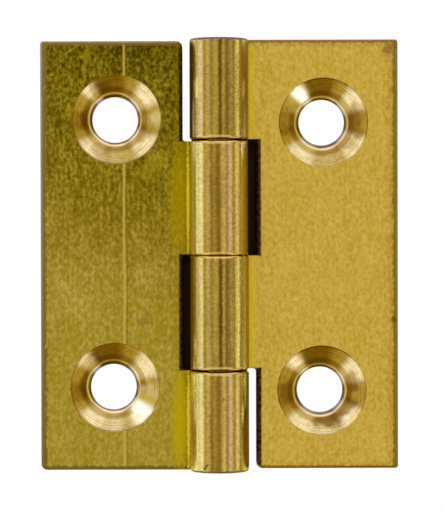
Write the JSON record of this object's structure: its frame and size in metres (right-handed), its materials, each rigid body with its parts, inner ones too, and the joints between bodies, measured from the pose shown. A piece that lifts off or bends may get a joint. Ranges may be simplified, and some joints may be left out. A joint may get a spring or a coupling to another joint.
{
  "type": "mortise hinge",
  "caption": "Small rolled brass butt hinge for a cabinet or box: flat leaves with countersunk screw holes turn on a pin through interlocking knuckles.",
  "frame": {"origin": "on the surface that the open hinge lies on, under the middle of the pin", "axes": "+Y along the pin, +X towards the right leaf, +Z out of the countersunk side, with the barrel on top"},
  "size_m": [0.025, 0.03, 0.0041],
  "materials": {
    "left_leaf_brass": "mill sheet, tarnished greenish and mottled, with a drawing line along it",
    "right_leaf_brass": "mill sheet, satin golden, fine grain along the pin",
    "pin_brass": "drawn wire"
  },
  "bodies": {
    "left": {"left_leaf": "left_leaf_brass", "hinge_pin": "pin_brass"},
    "right": {"right_leaf": "right_leaf_brass"}
  },
  "joints": [
    {"name": "leaf_swing", "type": "hinge", "parent": "left", "child": "right", "pos_m": [0, 0, 0.00205], "axis": [0, -1, 0], "range_deg": [-100, 188]}
  ]
}
